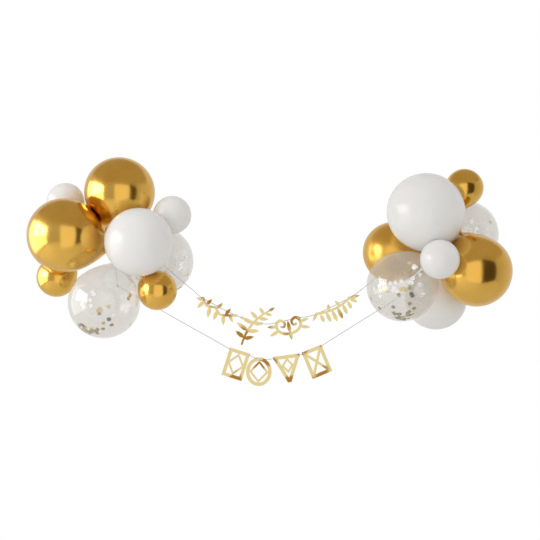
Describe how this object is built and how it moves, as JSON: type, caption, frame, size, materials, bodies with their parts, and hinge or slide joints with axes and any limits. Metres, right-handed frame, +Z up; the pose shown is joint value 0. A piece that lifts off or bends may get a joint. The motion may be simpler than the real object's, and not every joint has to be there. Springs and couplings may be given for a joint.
{
  "type": "balloon garland",
  "caption": "Two clusters of latex balloons joined by two strings of gold foil card ornaments, hung on a wall by string loops.",
  "frame": {"origin": "crown of the left hanging loop, where the wall hook holds it, 4 mm out from the wall", "axes": "+X along the wall towards the right hanging loop, -Y out of the wall towards the room, +Z up"},
  "size_m": [1.5131, 0.4795, 0.7526],
  "materials": {
    "chrome_gold_latex": "chrome-gold latex, soft mirror",
    "white_latex": "white latex, glossy",
    "clear_latex": "clear latex, see-through, glossy, with paper confetti inside",
    "foil_card": "gold mirror foil",
    "twisted_string": "twisted string, matte"
  },
  "bodies": {
    "root": {"left_gold_top": "chrome_gold_latex", "left_gold_side": "chrome_gold_latex", "left_gold_small_lower_side": "chrome_gold_latex", "left_gold_small_lower_inner": "chrome_gold_latex", "left_white_front": "white_latex", "left_white_small_upper_side": "white_latex", "left_white_small_upper_inner": "white_latex", "left_confetti_front": "clear_latex", "left_confetti_back": "clear_latex", "right_gold_side": "chrome_gold_latex", "right_gold_back": "chrome_gold_latex", "right_gold_small_upper_side": "chrome_gold_latex", "right_white_top": "white_latex", "right_white_bottom": "white_latex", "right_white_small_front": "white_latex", "right_confetti_front": "clear_latex", "right_confetti_back": "clear_latex", "left_tie_core": "twisted_string", "left_tie_front": "twisted_string", "left_tie_low": "twisted_string", "left_tie_small_upper_left": "twisted_string", "left_tie_small_lower_left": "twisted_string", "left_tie_small_upper_right": "twisted_string", "left_tie_small_lower_right": "twisted_string", "left_hanging_loop": "twisted_string", "left_hanging_knot": "twisted_string", "left_lower_knot": "twisted_string", "right_tie_high": "twisted_string", "right_tie_front": "twisted_string", "right_tie_core": "twisted_string", "right_hanging_loop": "twisted_string", "right_hanging_knot": "twisted_string", "right_lower_knot": "twisted_string", "left_cluster_cord": "twisted_string", "right_cluster_cord": "twisted_string", "upper_string": "twisted_string", "lower_string": "twisted_string", "upper_card_wave": "foil_card", "upper_card_leaf": "foil_card", "upper_card_curl": "foil_card", "upper_card_drops": "foil_card", "lower_card_diamond": "foil_card", "lower_card_ring": "foil_card", "lower_card_pennant": "foil_card", "lower_card_box": "foil_card"}
  },
  "joints": []
}
